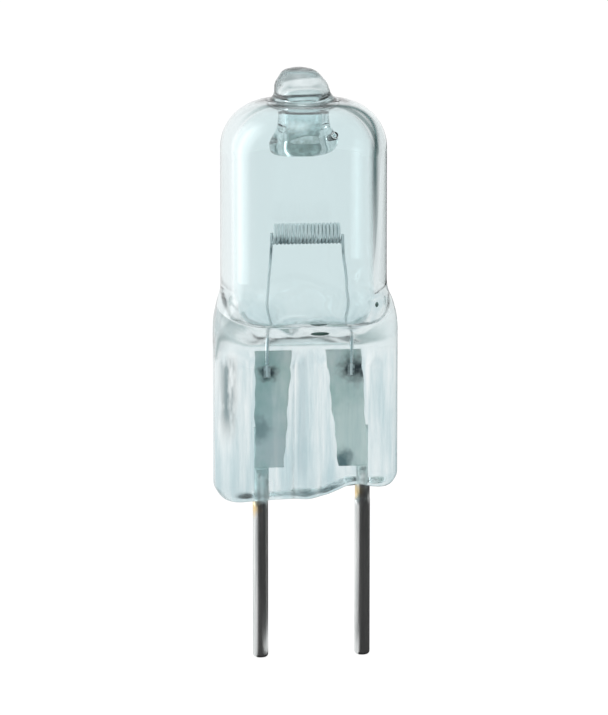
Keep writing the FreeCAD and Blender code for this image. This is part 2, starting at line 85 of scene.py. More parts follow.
def barOutline(width, thick, corner, count):
    # a rectangle with round corners, as count points that run on from quarter to quarter
    quarters = []
    for a, b in ((width / 2, thick / 2), (thick / 2, width / 2)):
        c = min(corner, a, b)
        side, top, arc = b - c, a - c, c * math.pi / 2
        along = np.linspace(0, side + arc + top, count // 4, endpoint=False)
        angle = np.clip((along - side) / max(c, 1e-9), 0, math.pi / 2)
        x = a - c + c * np.cos(angle) - np.clip(along - side - arc, 0, None)
        y = np.clip(along, 0, side) + c * np.sin(angle)
        quarters.append((x, y))
    first = np.stack(quarters[0], 1)
    second = np.stack([-quarters[1][1], quarters[1][0]], 1)
    return np.concatenate([first, second, -first, -second])


def smoothTable(table, at):
    # a smooth curve through (place, value...) rows, flat at both ends
    rows = np.array(table, float)
    places, values = rows[:, 0], rows[:, 1:]
    slopes = np.zeros_like(values)
    slopes[1:-1] = (values[2:] - values[:-2]) / (places[2:] - places[:-2])[:, None]
    at = np.clip(np.atleast_1d(at), places[0], places[-1])
    i = np.clip(np.searchsorted(places, at, side="right") - 1, 0, len(places) - 2)
    span = (places[i + 1] - places[i])[:, None]
    t = ((at - places[i])[:, None]) / span
    return ((2 * t**3 - 3 * t**2 + 1) * values[i] + (t**3 - 2 * t**2 + t) * span * slopes[i]
            + (3 * t**2 - 2 * t**3) * values[i + 1] + (t**3 - t**2) * span * slopes[i + 1])


def smoothStep(low, high, value):
    t = np.clip((value - low) / (high - low), 0, 1)
    return t * t * (3 - 2 * t)


def addRings(bm, rings, inward=False):
    # skin over a stack of rings, closed with a fan at each end
    verts = [[bm.verts.new(p * mm) for p in ring] for ring in rings]
    count = len(verts[0])
    faces = []
    for low, high in zip(verts, verts[1:]):
        for k in range(count):
            n = (k + 1) % count
            faces.append((low[k], low[n], high[n], high[k]))
    for ring, flip in ((verts[0], True), (verts[-1], False)):
        pole = bm.verts.new(sum((v.co for v in ring), Vector()) / count)
        for k in range(count):
            n = (k + 1) % count
            faces.append((ring[n], ring[k], pole) if flip else (ring[k], ring[n], pole))
    for f in faces:
        bm.faces.new(reversed(f) if inward else f)


def spun(profile, axis, count, lean=0.0, leanFrom=0.0):
    # rings of a (radius, height) profile about an upright axis, sheared to the left above leanFrom
    angle = np.arange(count) * 2 * math.pi / count
    rings = []
    for r, z in profile:
        shift = -math.tan(math.radians(lean)) * max(0.0, z - leanFrom)
        rings.append(np.stack([axis[0] + shift + max(r, 1e-4) * np.cos(angle),
                               axis[1] + max(r, 1e-4) * np.sin(angle), np.full(count, z)], 1))
    return rings


def finished(bm, name, material, node):
    bmesh.ops.remove_doubles(bm, verts=bm.verts, dist=2e-8)
    bmesh.ops.dissolve_degenerate(bm, edges=bm.edges, dist=1e-8)
    mesh = bpy.data.meshes.new(name)
    bm.to_mesh(mesh)
    bm.free()
    mesh.shade_smooth()
    mesh.materials.append(material)
    piece = bpy.data.objects.new(name, mesh)
    scene.collection.objects.link(piece)
    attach(piece, "root")
    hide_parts(node)
    print(name, len(mesh.polygons), "faces")
    return piece


# Materials

def newMaterial(name):
    material = bpy.data.materials.new(name)
    material.use_nodes = True
    return material, material.node_tree, material.node_tree.nodes["Principled BSDF"]


def feed(tree, socket, value):
    # another node's output is linked in; anything else becomes the socket's own value
    if isinstance(value, bpy.types.NodeSocket):
        tree.links.new(value, socket)
    else:
        socket.default_value = value


def addNode(tree, kind, inputs=None, **settings):
    # inputs go by the name or the number of a socket
    node = tree.nodes.new(kind)
    for key, value in settings.items():
        setattr(node, key, value)
    for key, value in (inputs or {}).items():
        feed(tree, node.inputs[key], value)
    return node


def ranged(tree, value, low, high, start, end, kind="SMOOTHSTEP"):
    # start at low, end at high, and a smooth or straight slope between
    inputs = dict(enumerate((value, low, high, start, end)))
    return addNode(tree, "ShaderNodeMapRange", inputs, interpolation_type=kind).outputs[0]


def calc(tree, operation, *values):
    return addNode(tree, "ShaderNodeMath", dict(enumerate(values)), operation=operation).outputs[0]


def vectorCalc(tree, operation, *values):
    node = addNode(tree, "ShaderNodeVectorMath", dict(enumerate(values)), operation=operation)
    return node.outputs["Value" if operation in ("DISTANCE", "DOT_PRODUCT", "LENGTH") else "Vector"]


def blend(tree, mask, under, over):
    return addNode(tree, "ShaderNodeMix", {0: mask, 6: under, 7: over}, data_type="RGBA").outputs[2]


def axes(tree, vector):
    return addNode(tree, "ShaderNodeSeparateXYZ", {0: vector}).outputs


def noise(tree, vector, scale, detail, roughness=0.5):
    inputs = {"Vector": vector, "Scale": scale, "Detail": detail, "Roughness": roughness}
    return addNode(tree, "ShaderNodeTexNoise", inputs).outputs["Fac"]


def sockets(group, inputs, outputs):
    for name, kind, value in inputs:
        socket = group.interface.new_socket(name, in_out="INPUT", socket_type="NodeSocket" + kind)
        socket.default_value = value
    for name, kind in outputs:
        group.interface.new_socket(name, in_out="OUTPUT", socket_type="NodeSocket" + kind)
    return addNode(group, "NodeGroupInput").outputs, addNode(group, "NodeGroupOutput").inputs


spotEdge = {"scale": 2200.0, "detail": 4.0, "depth": 0.9, "fade": (0.6, 1.35)}
nowhere = (0, 0, -1)  # spots that a material leaves out lie far below the bulb
spotSize = 0.0005


def raggedSpotGroup(look):
    # a mask about one point: 1 in the middle, 0 beyond the size, with a ragged edge
    group = bpy.data.node_groups.new("raggedSpot", "ShaderNodeTree")
    inputs = (("Place", "Vector", nowhere), ("Size", "Float", spotSize))
    given, result = sockets(group, inputs, (("Mask", "Float"),))
    place = addNode(group, "ShaderNodeTexCoord").outputs["Object"]
    share = calc(group, "DIVIDE", vectorCalc(group, "DISTANCE", place, given["Place"]), given["Size"])
    specks = noise(group, place, look["scale"], look["detail"])
    ragged = calc(group, "MULTIPLY_ADD", specks, look["depth"], share)
    feed(group, result["Mask"], ranged(group, ragged, *look["fade"], 1.0, 0.0))
    return group


raggedSpot = raggedSpotGroup(spotEdge)


def spotMask(tree, place, size):
    spot = addNode(tree, "ShaderNodeGroup", {"Place": place, "Size": size}, node_tree=raggedSpot)
    return spot.outputs["Mask"]


drawnLook = {"streakDetail": 6.0, "streakRoughness": 0.6, "streaks": (0.35, 0.68), "speckScale": 2600.0,
             "speckDetail": 4.0}


def drawnMetalGroup(look):
    # streaks and specks of drawn or rolled metal, with three spots about their own points that carry stains,
    # weld scorch and painted light, that is painted highlight and painted shade
    group = bpy.data.node_groups.new("drawnMetal", "ShaderNodeTree")
    inputs = [("Bright", "Color", (0.6, 0.6, 0.6, 1)), ("Dull", "Color", (0.4, 0.4, 0.4, 1))]
    for name, colour in (("Stain", (0.5, 0.5, 0.5, 1)), ("Scorch", (0.05, 0.05, 0.06, 1)),
                         ("Patch", (0.2, 0.2, 0.2, 1))):
        inputs += [(name, "Color", colour), (name + " Place", "Vector", nowhere),
                   (name + " Size", "Float", spotSize)]
    inputs += [("Streak Scale", "Float", 4000.0), ("Streak Length", "Float", 12.0),
               ("Roughness Low", "Float", 0.25), ("Roughness High", "Float", 0.45)]
    outputs = (("Color", "Color"), ("Roughness", "Float"), ("Height", "Float"), ("Painted Light Spot Mask", "Float"))
    given, result = sockets(group, inputs, outputs)
    place = addNode(group, "ShaderNodeTexCoord").outputs["Object"]
    inverse = calc(group, "DIVIDE", 1.0, given["Streak Length"])
    along = addNode(group, "ShaderNodeCombineXYZ", {"X": 1.0, "Y": 1.0, "Z": inverse}).outputs[0]
    squeezed = vectorCalc(group, "MULTIPLY", place, along)
    streaks = noise(group, squeezed, given["Streak Scale"], look["streakDetail"], look["streakRoughness"])
    specks = noise(group, place, look["speckScale"], look["speckDetail"])
    dull = ranged(group, streaks, *look["streaks"], 0.0, 1.0, "LINEAR")
    colour = blend(group, dull, given["Bright"], given["Dull"])
    for name in ("Stain", "Patch", "Scorch"):
        mask = spotMask(group, given[name + " Place"], given[name + " Size"])
        colour = blend(group, mask, colour, given[name])
        if name == "Patch":
            feed(group, result["Painted Light Spot Mask"], mask)
    rough = ranged(group, specks, 0.0, 1.0, given["Roughness Low"], given["Roughness High"], "LINEAR")
    for name, value in (("Color", colour), ("Roughness", rough), ("Height", streaks)):
        feed(group, result[name], value)
    return group


drawnMetal = drawnMetalGroup(drawnLook)


def metalMaterial(name, look):
    material, tree, shader = newMaterial(name)
    wear = addNode(tree, "ShaderNodeGroup", look["wear"], node_tree=drawnMetal).outputs
    metallic = look["metallic"]
    if "patchMetallic" in look:
        metallic = ranged(tree, wear["Painted Light Spot Mask"], 0.0, 1.0, metallic, look["patchMetallic"], "LINEAR")
    bump = addNode(tree, "ShaderNodeBump", {"Strength": look["bump"], "Distance": look["bumpDepth"] * mm,
                                            "Height": wear["Height"]})
    for key, value in (("Base Color", wear["Color"]), ("Roughness", wear["Roughness"]),
                       ("Metallic", metallic), ("Normal", bump.outputs["Normal"])):
        feed(tree, shader.inputs[key], value)
    return material


quartzLook = {
    "axisX": -0.49, "ior": 1.458,
    "tube": (0.82, 0.90, 0.91, 1), "pinch": (0.50, 0.66, 0.70, 1), "clear": (0.91, 0.965, 0.97, 1),
    "streakScale": 900.0, "streakLength": 10.0, "streakDepth": 0.015,
    "streakDetail": 5.0, "streakRoughness": 0.6,
    "milky": (0.36, 0.66),  # levels of the streaks between the pinch's colour and the clear one
    "pinchTop": 8.8, "tubeStart": 10.4,
    # height and roughness: hazy at the underside, the collar and the tip
    "haze": [(-1.0, 0.24), (0.9, 0.24), (1.8, 0.12), (9.0, 0.12), (9.7, 0.18), (11.2, 0.18), (12.4, 0.0),
             (24.3, 0.0), (24.8, 0.1), (25.3, 0.24), (28.0, 0.24)],
    "hazeStreaks": (1.2, 0.4),  # the haze is taken times this much of the streaks plus a constant
    # painted shade down the left bead and the rib: colour, middle, half width, heights of fading in and out
    "paintedShadeBands": [((0.08, 0.13, 0.14, 1), -5.35, 0.7, ((3.5, 6.0), (9.8, 8.6))),
               ((0.40, 0.53, 0.57, 1), -0.85, 0.4, ((0.8, 2.5), (9.8, 9.0)))],
    "paintedShadeCore": 0.1,
    "blotchScale": 1400.0, "blotchSqueeze": 0.3, "blotchDetail": 3.0, "blotches": (0.26, 0.52),
    # darker places: painted shade for the dark arc under the stub's rim, and the thick glass at the hollow's
    # floor
    "spots": [((0.14, 0.20, 0.17, 1), (-0.6, -0.2, 20.5), 4.1),
              ((0.62, 0.75, 0.78, 1), (-2.5, 0.0, 11.3), 4.2),
              ((0.62, 0.75, 0.78, 1), (1.7, 0.0, 11.3), 4.2)],
    # painted shade: a dark line inside the outline of the dome and the right wall, where the glass is seen
    # aslant:
    # colour, how aslant at two heights, how sharp, where it fades in; it is outside the hollow and clear of
    # the tip
    "line": (0.015, 0.055, 0.055, 1), "lineAslant": ((22.0, 0.49), (24.6, 0.68)), "lineWidth": 0.13,
    "lineX": (-3.4, -2.4), "lineZ": (12.5, 21.0),
    "lineRadius": ((22.0, 4.7), (24.25, 3.4)), "ceiling": 24.3, "tipRadius": 2.0,
}


def hazeRamp(tree, z, rows):
    low, high = rows[0][0], rows[-1][0]
    ramp = addNode(tree, "ShaderNodeValToRGB", {0: ranged(tree, z, low * mm, high * mm, 0.0, 1.0, "LINEAR")})
    stops = ramp.color_ramp.elements
    for height, level in rows[1:-1]:
        stops.new((height - low) / (high - low)).color = (level, level, level, 1)
    for stop, (height, level) in ((stops[0], rows[0]), (stops[-1], rows[-1])):
        stop.color = (level, level, level, 1)
    return ramp.outputs["Color"]


def paintedShadeLine(tree, place, at, look):
    # painted shade along the outline, where the glass is seen aslant
    facing = addNode(tree, "ShaderNodeLayerWeight", {"Blend": 0.5}).outputs["Facing"]
    centred = vectorCalc(tree, "MULTIPLY_ADD", place, (1, 1, 0), (-look["axisX"] * mm, 0, 0))
    radius = vectorCalc(tree, "LENGTH", centred)
    (low, wide), (high, narrow) = look["lineRadius"]
    wall = ranged(tree, at["Z"], low * mm, high * mm, wide * mm, narrow * mm, "LINEAR")
    outside = calc(tree, "MAXIMUM", calc(tree, "GREATER_THAN", radius, wall),
                   calc(tree, "GREATER_THAN", at["Z"], look["ceiling"] * mm))
    outside = calc(tree, "MULTIPLY", outside, calc(tree, "GREATER_THAN", radius, look["tipRadius"] * mm))
    (low, side), (high, top) = look["lineAslant"]
    aslant = ranged(tree, at["Z"], low * mm, high * mm, side, top)
    off = calc(tree, "ABSOLUTE", calc(tree, "SUBTRACT", facing, aslant))
    line = calc(tree, "MULTIPLY", outside, ranged(tree, off, 0.0, look["lineWidth"], 1.0, 0.0))
    for axis in ("X", "Z"):
        low, high = look["line" + axis]
        line = calc(tree, "MULTIPLY", line, ranged(tree, at[axis], low * mm, high * mm, 0.0, 1.0))
    return line


def quartzMaterial(look):
    # clear in the tube; streaked and a little rough where the jaws pressed it
    material, tree, shader = newMaterial("clearQuartz")
    place = addNode(tree, "ShaderNodeTexCoord").outputs["Object"]
    at = axes(tree, place)
    pressed = ranged(tree, at["Z"], look["pinchTop"] * mm, look["tubeStart"] * mm, 1.0, 0.0)
    drawn = addNode(tree, "ShaderNodeMapping", {"Vector": place, "Scale": (1, 1, 1 / look["streakLength"])})
    scale, detail, roughness = (look["streak" + key] for key in ("Scale", "Detail", "Roughness"))
    streaks = noise(tree, drawn.outputs[0], scale, detail, roughness)
    bump = addNode(tree, "ShaderNodeBump", {"Strength": 1.0, "Distance": look["streakDepth"] * mm,
                                            "Height": calc(tree, "MULTIPLY", streaks, pressed)})
    rough = calc(tree, "MULTIPLY", hazeRamp(tree, at["Z"], look["haze"]),
                 calc(tree, "MULTIPLY_ADD", streaks, *look["hazeStreaks"]))
    pinch = blend(tree, ranged(tree, streaks, *look["milky"], 0.0, 1.0), look["pinch"], look["clear"])
    # the painted shade comes in blotches
    drawn = addNode(tree, "ShaderNodeMapping", {"Vector": place, "Scale": (1, 1, look["blotchSqueeze"])})
    blotches = noise(tree, drawn.outputs[0], look["blotchScale"], look["blotchDetail"])
    patchy = ranged(tree, blotches, *look["blotches"], 0.0, 1.0)
    core = look["paintedShadeCore"] * mm
    for colour, middle, width, fades in look["paintedShadeBands"]:
        away = calc(tree, "ABSOLUTE", calc(tree, "SUBTRACT", at["X"], middle * mm))
        band = calc(tree, "MULTIPLY", patchy, ranged(tree, away, width * mm, core, 0.0, 1.0))
        for start, end in fades:
            band = calc(tree, "MULTIPLY", band, ranged(tree, at["Z"], start * mm, end * mm, 0.0, 1.0))
        pinch = blend(tree, band, pinch, colour)
    tube = look["tube"]
    # the first spot is painted shade under the stub's rim
    for colour, middle, size in look["spots"]:
        tube = blend(tree, spotMask(tree, [v * mm for v in middle], size * mm), tube, colour)
    # the painted shade line goes over the tube's colour
    tube = blend(tree, paintedShadeLine(tree, place, at, look), tube, look["line"])
    for key, value in (("Base Color", blend(tree, pressed, tube, pinch)), ("Roughness", rough),
                       ("Normal", bump.outputs["Normal"]), ("Transmission Weight", 1.0),
                       ("IOR", look["ior"])):
        feed(tree, shader.inputs[key], value)
    return material


clearQuartz = quartzMaterial(quartzLook)


# Quartz envelope: skins outside and round the hollow, channels round the legs, a seed (bubble) and specks

envelope = {
    "axisX": -0.49, "pinchX": -0.39,
    # points round the outside, the hollow and the small forms, rings in each stretch, spacing along a profile
    "round": 256, "hollowRound": 160, "smallRound": 24,
    "closing": (0.02, 0.35, 0.7, 0.9), "pinchRings": ((0.0, 0.09, 14), (0.1, 1.0, 80)), "collarRings": 34,
    "floorRings": (0.04, 0.94, 14), "wallRings": 30, "wallCrowding": 1.6, "ballRings": 16, "spacing": 0.3,
    # height, width, thickness, corner and shift of the outside, from the pinch's top to the round tube
    "collar": [(9.6, 11.33, 4.4, 1.8, 0.10), (11.35, 11.26, 6.7, 3.0, 0.10), (12.5, 10.8, 8.9, 4.35, 0.08),
               (13.2, 10.3, 9.85, 4.85, 0.03), (14.0, 10.2, 10.2, 5.1, 0.0)],
    # place along the pins' line, and the height of the underside there
    "underside": [(-6.1, 0.45), (-5.4, 0.24), (-4.4, 0.2), (-2.6, 0.28), (-0.6, 0.36), (0.6, 0.5),
                  (1.4, 0.78), (2.1, 1.08), (2.7, 1.14), (3.7, 1.0), (4.7, 0.97), (5.35, 1.12)],
    "footRound": 0.8, "lipRound": 0.4,
    "panel": {"depth": 0.44, "rib": (0.0, 1.0), "bead": (3.4, 4.7), "top": (8.4, 9.8)},
    "dome": [(5.1, 14.0), (5.1, 24.75, 2.95), (1.8, 24.9, 0.65), (1.62, 25.9, 0.9), (1.02, 26.7, 0.8),
             (0.0, 26.93)],
    "lean": 8.0, "domeTop": 24.75,
    # the same rows as the collar's, for the hollow's floor, and the waves of its middle
    "floor": [(11.45, 8.0, 4.2, 2.1, 0.1), (11.5, 8.35, 4.8, 2.4, 0.1), (11.75, 8.6, 5.6, 2.8, 0.1),
              (12.5, 8.7, 7.15, 3.55, 0.08), (13.2, 8.65, 8.15, 4.07, 0.03), (14.0, 8.6, 8.6, 4.3, 0.0)],
    "waves": {"height": 0.22, "long": (1.7, 0.6), "short": (3.1, -1.3), "shortShare": 0.6},
    "hollow": [(4.3, 14.0), (4.3, 24.25, 2.65), (1.5, 24.25, 0.3), (1.6, 23.3, 1.0), (2.1, 22.5, 0.45),
               (2.05, 21.75, 0.5), (1.05, 21.75, 0.5), (1.12, 22.9, 0.6), (1.18, 25.7, 0.6), (0.0, 25.7)],
    "stub": {"from": 23.6, "to": 22.6, "reach": (2.3, 3.0), "slant": 0.07, "lobes": 2, "start": 1,
             "wave": 0.05},
    "channels": [(-2.845, -0.425), (2.355, -0.425)], "channelRadius": 0.125, "channelEdge": 0.1,
    "channelSpan": (8.8, 11.05), "channelStep": 0.02,
    # a bubble, and specks of melted-in dirt: place, width and height
    "seeds": [(0.85, -3.75, 23.05, 0.4, 0.4)],
    "specks": [(3.47, -2.6, 12.55, 0.26, 0.26), (0.17, -2.8, 10.88, 1.15, 0.24)],
    "speckColour": (0.08, 0.16, 0.14, 1), "speckRoughness": 0.5,
}


def pressedPanels(x, y, z, look):
    # both faces of the pinch sink over the foils, with soft slopes at the rib, the beads and the top
    panel = look["panel"]
    across = np.abs(x - look["pinchX"])
    inside = smoothStep(*panel["rib"], across) * (1 - smoothStep(*panel["bead"], across))
    inside *= 1 - smoothStep(*panel["top"], z)
    return np.sign(y) * np.clip(np.abs(y) - panel["depth"] * inside, 0, None)


def meltedStub(ring, look):
    # the stub's rim was melted by hand: it hangs lower on the left and waves a little
    stub = look["stub"]
    x, y, z = ring.T
    x = x - look["axisX"]
    near = (1 - smoothStep(stub["to"], stub["from"], z)) * (1 - smoothStep(*stub["reach"], np.hypot(x, y)))
    wave = np.sin(stub["lobes"] * np.arctan2(y, x) + stub["start"])
    ring[:, 2] += near * (stub["slant"] * x + stub["wave"] * wave)
    return ring


def pinchRing(look, share, squeeze=1.0):
    # a ring of the pinch, share of the way from its underside to its top; squeeze closes the underside
    top, width, thick, corner, shift = look["collar"][0]
    rise = share * (top - min(height for place, height in look["underside"]))
    insetX, insetY = (r - math.sqrt(max(0.0, r**2 - max(0.0, r - rise) ** 2))
                      for r in (look["footRound"], look["lipRound"]))
    outline = barOutline(width - 2 * insetX, thick - 2 * insetY, corner - min(insetX, insetY), look["round"])
    x = outline[:, 0] + look["axisX"] + shift
    floor = smoothTable(look["underside"], x)[:, 0]
    z = floor + share * (top - floor)
    y = pressedPanels(x, outline[:, 1], z, look) * squeeze
    return np.stack([x, y, z], 1)


def barRings(table, heights, axisX, count):
    rings = []
    for z in heights:
        width, thick, corner, shift = smoothTable(table, z)[0]
        outline = barOutline(width, thick, corner, count)
        rings.append(np.column_stack([outline[:, 0] + axisX + shift, outline[:, 1], np.full(count, z)]))
    return rings


def outerRings(look):
    rings = [pinchRing(look, 0.0, squeeze) for squeeze in look["closing"]]
    rings += [pinchRing(look, share) for run in look["pinchRings"] for share in np.linspace(*run)]
    heights = np.linspace(look["collar"][0][0], look["collar"][-1][0], look["collarRings"])
    rings += barRings(look["collar"], heights[1:-1], look["axisX"], look["round"])
    profile = spacedOut(roundedProfile(look["dome"]), look["spacing"])
    return rings + spun(profile[:-1], (look["axisX"], 0), look["round"], look["lean"], look["domeTop"])


def hollowRings(look):
    waves = look["waves"]
    low, high = look["floor"][0][0], look["floor"][-1][0]
    outline = barOutline(*smoothTable(look["floor"], low)[0][:3], look["hollowRound"])
    rings = []
    for share in np.linspace(*look["floorRings"]):
        x, y = outline.T * share
        wave = np.sin(waves["long"][0] * x + waves["long"][1])
        wave += waves["shortShare"] * np.sin(waves["short"][0] * x + waves["short"][1] * y)
        z = low + waves["height"] * (1 - share**2) * (wave - 1)
        rings.append(np.column_stack([x + look["pinchX"], y, z]))
    heights = np.linspace(0, 1, look["wallRings"])[:-1] ** look["wallCrowding"] * (high - low) + low
    rings += barRings(look["floor"], heights, look["axisX"], look["hollowRound"])
    profile = spacedOut(roundedProfile(look["hollow"]), look["spacing"])
    tube = spun(profile[:-1], (look["axisX"], 0), look["hollowRound"])
    return rings + [meltedStub(ring, look) for ring in tube]


def addBalls(bm, balls, look, inward):
    angles = np.linspace(0.02, math.pi - 0.02, look["ballRings"])
    for x, y, z, width, height in balls:
        profile = [(width / 2 * math.sin(a), z - height / 2 * math.cos(a)) for a in angles]
        addRings(bm, spun(profile, (x, y), look["smallRound"]), inward)


def makeEnvelope(look):
    bm = bmesh.new()
    addRings(bm, outerRings(look))
    addRings(bm, hollowRings(look), inward=True)
    base, top = look["channelSpan"]
    radius, edge = look["channelRadius"], look["channelEdge"]
    corners = [(0, base), (radius, base, edge), (radius, top, edge), (0, top)]
    profile = roundedProfile(corners, look["channelStep"])
    for place in look["channels"]:
        addRings(bm, spun(spacedOut(profile, look["spacing"]), place, look["smallRound"]), inward=True)
    glass = len(bm.faces)
    addBalls(bm, look["specks"], look, inward=False)
    for face in list(bm.faces)[glass:]:
        face.material_index = 1
    addBalls(bm, look["seeds"], look, inward=True)
    piece = finished(bm, "quartzEnvelope", clearQuartz, "quartz_envelope")
    dirt, tree, shader = newMaterial("meltedDirt")
    feed(tree, shader.inputs["Base Color"], look["speckColour"])
    feed(tree, shader.inputs["Roughness"], look["speckRoughness"])
    piece.data.materials.append(dirt)


makeEnvelope(envelope)


# Contact pins: drawn rods with rounded ends

pins = {
    "radius": 0.475, "shank": 0.46, "bottom": -9.9, "tip": 0.22, "shoulder": 0.0, "top": 4.7,
    "flat": -0.30, "flatBase": 1.9, "ledge": 0.02, "round": 64, "arcStep": 0.03, "spacing": 0.4,
    # place of each pin along x, and the height at which it leaves the glass
    "places": {"left": (-3.175, 0.2), "right": (3.175, 1.1)},
    # the brown stain lies below that height and a little to the front, the pale painted light above it
    "stainDrop": 0.6, "stainFront": 0.2, "patchRise": 3.9,
    "metallic": 1.0, "patchMetallic": 0.2, "bump": 0.4, "bumpDepth": 0.01,
    "wear": {"Bright": (0.86, 0.87, 0.86, 1), "Dull": (0.58, 0.61, 0.61, 1), "Stain": (0.80, 0.62, 0.34, 1),
             "Stain Size": 0.0008, "Patch": (0.80, 0.95, 0.93, 1), "Patch Size": 0.0056,
             "Streak Scale": 5000.0, "Streak Length": 25.0,
             "Roughness Low": 0.24, "Roughness High": 0.42},
}


def makePin(side, x, glass):
    # tempered brown where it leaves the glass; inside the glass the bare rod is painted pale and barely
    # metallic, painted light for how it shows through the glass
    radius, shank, ledge, flatBase = (pins[key] for key in ("radius", "shank", "ledge", "flatBase"))
    spots = {"Stain Place": ((x - radius) * mm, -pins["stainFront"] * mm, (glass - pins["stainDrop"]) * mm),
             "Patch Place": (x * mm, 0, (glass + pins["patchRise"]) * mm)}
    material = metalMaterial(side + "Pin", dict(pins, wear=dict(pins["wear"], **spots)))
    profile = roundedProfile([(0, pins["bottom"]), (radius, pins["bottom"], pins["tip"]),
                              (radius, pins["shoulder"]), (shank, pins["shoulder"] + ledge),
                              (shank, flatBase), (shank, flatBase + ledge),
                              (shank, pins["top"]), (0, pins["top"])], pins["arcStep"])
    rings = spun(spacedOut(profile, pins["spacing"])[1:-1], (x, 0), pins["round"])
    for ring in rings:
        if ring[0][2] > flatBase + ledge / 2:  # the flat that carries the foil
            ring[:, 1] = np.maximum(ring[:, 1], pins["flat"])
    bm = bmesh.new()
    addRings(bm, rings)
    finished(bm, side + "Pin", material, side + "_pin")


for side, (x, glass) in pins["places"].items():
    makePin(side, x, glass)


# Sealing foils: thin rolled strips, a little crinkled, scorched where the legs are welded on,
# with a pale painted highlight and a dark painted shade on each

foils = {
    "face": -0.335, "thick": 0.035, "base": 2.2, "top": 9.7, "divisions": (25, 61),
    # waves of the edges and of the crinkles: how fast they run up the foil and across it, where they start
    "ragged": 0.06, "raggedWaves": ((23, 4, 0), (9, 0, 1)),
    "crinkle": 0.015, "crinkleWaves": ((7, 3, 0), (2, 5, 0), (17, -4, 0)), "fineShare": 0.4,
    "held": (0.1, 0.9),  # the ends stay flat beyond these shares of the length
    # the sides thin out over this share of the width, to this rest of the thickness
    "featherWidth": 1 / 12, "featherRest": 0.04,
    "metallic": 0.05, "bump": 0.6, "bumpDepth": 0.03,
    "wear": {"Bright": (0.93, 1.0, 0.99, 1), "Dull": (0.56, 0.78, 0.74, 1), "Scorch": (0.03, 0.05, 0.06, 1),
             "Streak Scale": 550.0, "Streak Length": 1.4, "Roughness Low": 0.35, "Roughness High": 0.55},
    # inner and outer edge at the lower end, then at the top, and the spots of each foil in millimetres
    # on each foil the pale spot is a painted highlight and the dark spot painted shade; the weld spot is
    # scorch
    "left": {"edges": (-1.795, -3.595, -1.315, -3.595),
             "spots": {"Scorch Place": (-2.75, -0.4, 8.2), "Scorch Size": 0.95,
                       "Stain": (0.90, 0.95, 0.95, 1), "Stain Place": (-2.2, -0.335, 3.2), "Stain Size": 2.6,
                       "Patch": (0.42, 0.53, 0.54, 1), "Patch Place": (-3.3, -0.335, 4.6),
                       "Patch Size": 1.2}},
    "right": {"edges": (1.605, 3.505, 0.775, 2.975),
              "spots": {"Scorch Place": (2.65, -0.4, 8.45), "Scorch Size": 1.6,
                        "Stain": (0.86, 1.0, 0.97, 1), "Stain Place": (2.3, -0.335, 4.5), "Stain Size": 3.2,
                        "Patch": (0.16, 0.26, 0.28, 1), "Patch Place": (1.85, -0.335, 2.55),
                        "Patch Size": 1.1}},
}


def foilSheets(look, edges):
    # the front and the back of a foil as grids of points, rows upward
    innerLow, outerLow, innerTop, outerTop = edges
    u, v = np.meshgrid(*(np.linspace(0, 1, count) for count in look["divisions"]))
    x = (1 - v) * (innerLow + (outerLow - innerLow) * u) + v * (innerTop + (outerTop - innerTop) * u)
    z = look["base"] + v * (look["top"] - look["base"])
    steep, slow = (np.sin(a * v + b * u + c) for a, b, c in look["raggedWaves"])
    x += look["ragged"] * (2 * u - 1) * steep * slow
    upward, across, fine = (np.sin(a * v + b * u + c) for a, b, c in look["crinkleWaves"])
    hold = smoothStep(0, look["held"][0], v) * (1 - smoothStep(look["held"][1], 1, v))
    y = look["face"] + look["crinkle"] * (upward * across + look["fineShare"] * fine) * hold
    thinned = 1 - np.minimum(1.0, np.minimum(u, 1 - u) / look["featherWidth"])
    feather = look["thick"] / 2 * thinned * (1 - look["featherRest"])
    return [np.stack([x, place, z], -1) for place in (y + feather, y + look["thick"] - feather)]


def makeFoil(side):
    spots = {key: value if len(np.atleast_1d(value)) == 4 else np.multiply(value, mm).tolist()
             for key, value in foils[side]["spots"].items()}
    material = metalMaterial(side + "SealingFoil", dict(foils, wear=dict(foils["wear"], **spots)))
    bm = bmesh.new()
    front, back = ([[bm.verts.new(p * mm) for p in row] for row in grid]
                   for grid in foilSheets(foils, foils[side]["edges"]))
    rows, cols = len(front), len(front[0])
    for j in range(rows - 1):
        for i in range(cols - 1):
            bm.faces.new((front[j][i], front[j][i + 1], front[j + 1][i + 1], front[j + 1][i]))
            bm.faces.new((back[j][i], back[j + 1][i], back[j + 1][i + 1], back[j][i + 1]))
    edge = [(0, i) for i in range(cols)] + [(j, cols - 1) for j in range(1, rows)]
    edge += [(rows - 1, i) for i in range(cols - 2, -1, -1)] + [(j, 0) for j in range(rows - 2, 0, -1)]
    for (j, i), (m, n) in zip(edge, edge[1:] + edge[:1]):
        bm.faces.new((front[j][i], back[j][i], back[m][n], front[m][n]))
    bmesh.ops.recalc_face_normals(bm, faces=bm.faces)
    finished(bm, side + "Foil", material, side + "_foil")


for side in ("left", "right"):
    makeFoil(side)


# Filament: one tungsten wire. Geometry Nodes wind the coil and put the wire's thickness on coil and legs.

